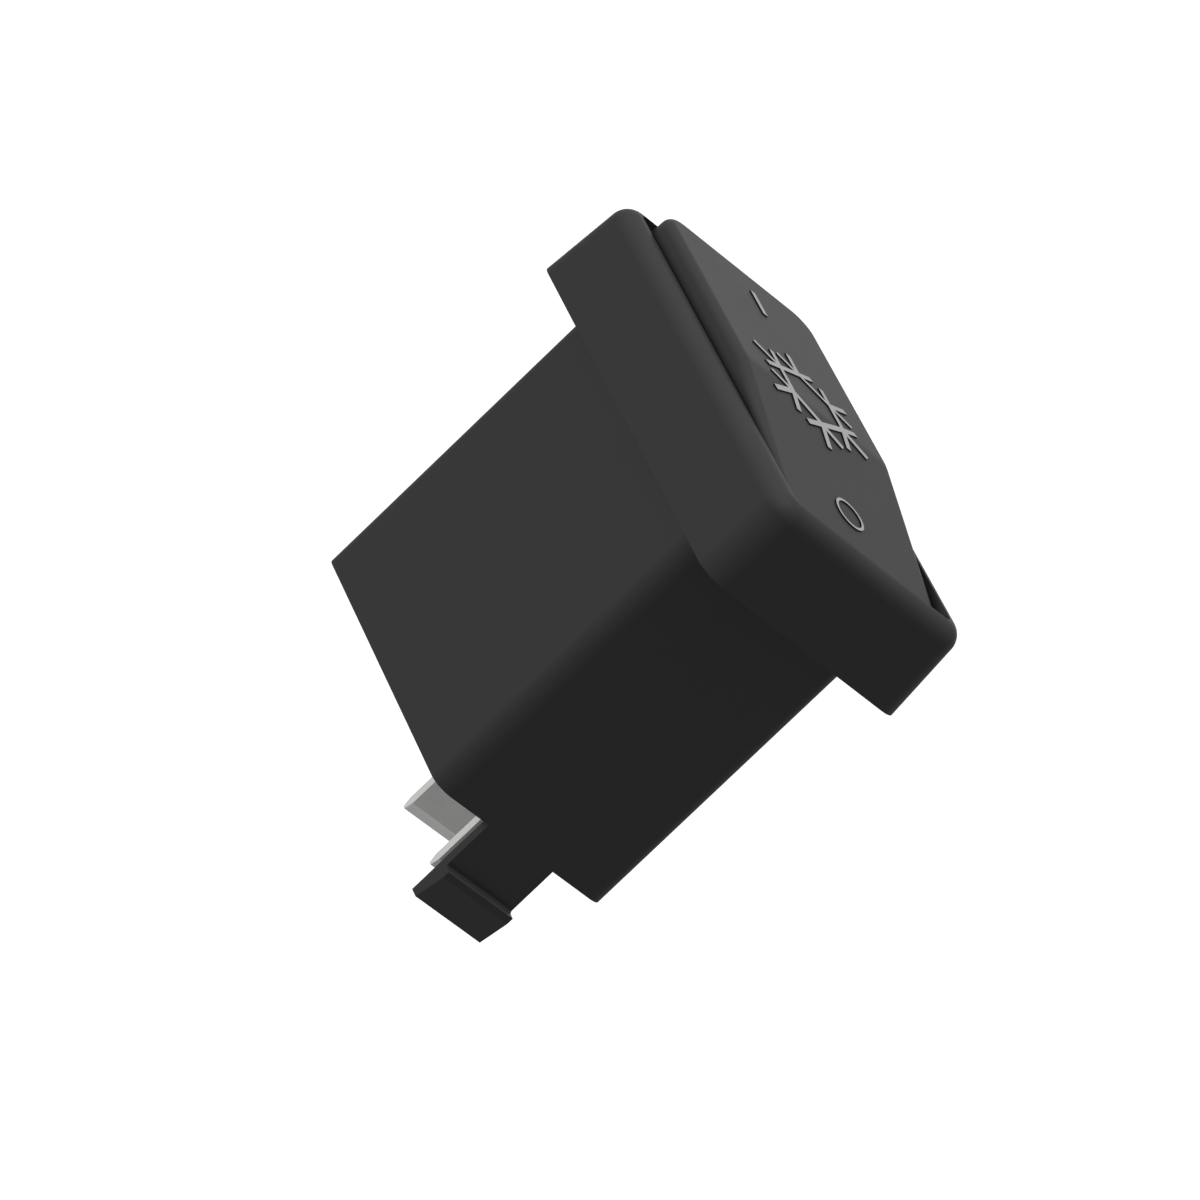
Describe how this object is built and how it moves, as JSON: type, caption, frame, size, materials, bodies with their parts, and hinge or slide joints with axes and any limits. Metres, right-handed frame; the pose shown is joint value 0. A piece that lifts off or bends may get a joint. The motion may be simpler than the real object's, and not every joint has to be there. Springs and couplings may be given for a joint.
{
  "type": "rocker switch",
  "caption": "Black panel rocker switch with a drafted bezel, a ridged on-off rocker, blade terminals and a latch tab for its connector.",
  "frame": {"origin": "centre of the bezel's rear seating face, which lies on the panel", "axes": "+Z out of the panel, +Y towards the rocker's end marked I, +X across the switch"},
  "size_m": [0.0246, 0.049, 0.0497],
  "materials": {
    "housing_nylon": "fine satin texture",
    "rocker_nylon": "fine matt texture",
    "base_nylon": "moulded",
    "carrier_acetal": "moulded",
    "tinned_brass": "tin plated",
    "plated_copper": "bright",
    "contact_silver": "turned",
    "spring_steel": "drawn wire"
  },
  "bodies": {
    "switch_body": {"housing": "housing_nylon", "terminal_base": "base_nylon", "pivot_pin": "spring_steel", "common_terminal": "tinned_brass", "load_terminal": "tinned_brass", "fixed_contact": "contact_silver"},
    "rocker": {"rocker_cap": "rocker_nylon", "rocker_carrier": "carrier_acetal", "plunger_spring": "spring_steel"},
    "plunger": {"plunger": "carrier_acetal"},
    "contact_arm": {"contact_arm": "plated_copper", "moving_contact": "contact_silver"}
  },
  "joints": [
    {"name": "rocker_tilt", "type": "hinge", "parent": "switch_body", "child": "rocker", "pos_m": [0, 0, 0.0025], "axis": [1, 0, 0], "range_deg": [-7.79, 0]},
    {"name": "plunger_slide", "type": "slide", "parent": "rocker", "child": "plunger", "axis": [0, -0.0679, 0.9977], "range_m": [0, 0.0006], "stiffness_N_per_m": 300, "deforming": ["plunger_spring"]},
    {"name": "arm_tilt", "type": "hinge", "parent": "switch_body", "child": "contact_arm", "pos_m": [0, 0, -0.01544], "axis": [1, 0, 0], "range_deg": [0, 16]}
  ],
  "couplings": [
    {"joint": "arm_tilt", "follows": "rocker_tilt", "ratio": -2.0539}
  ]
}
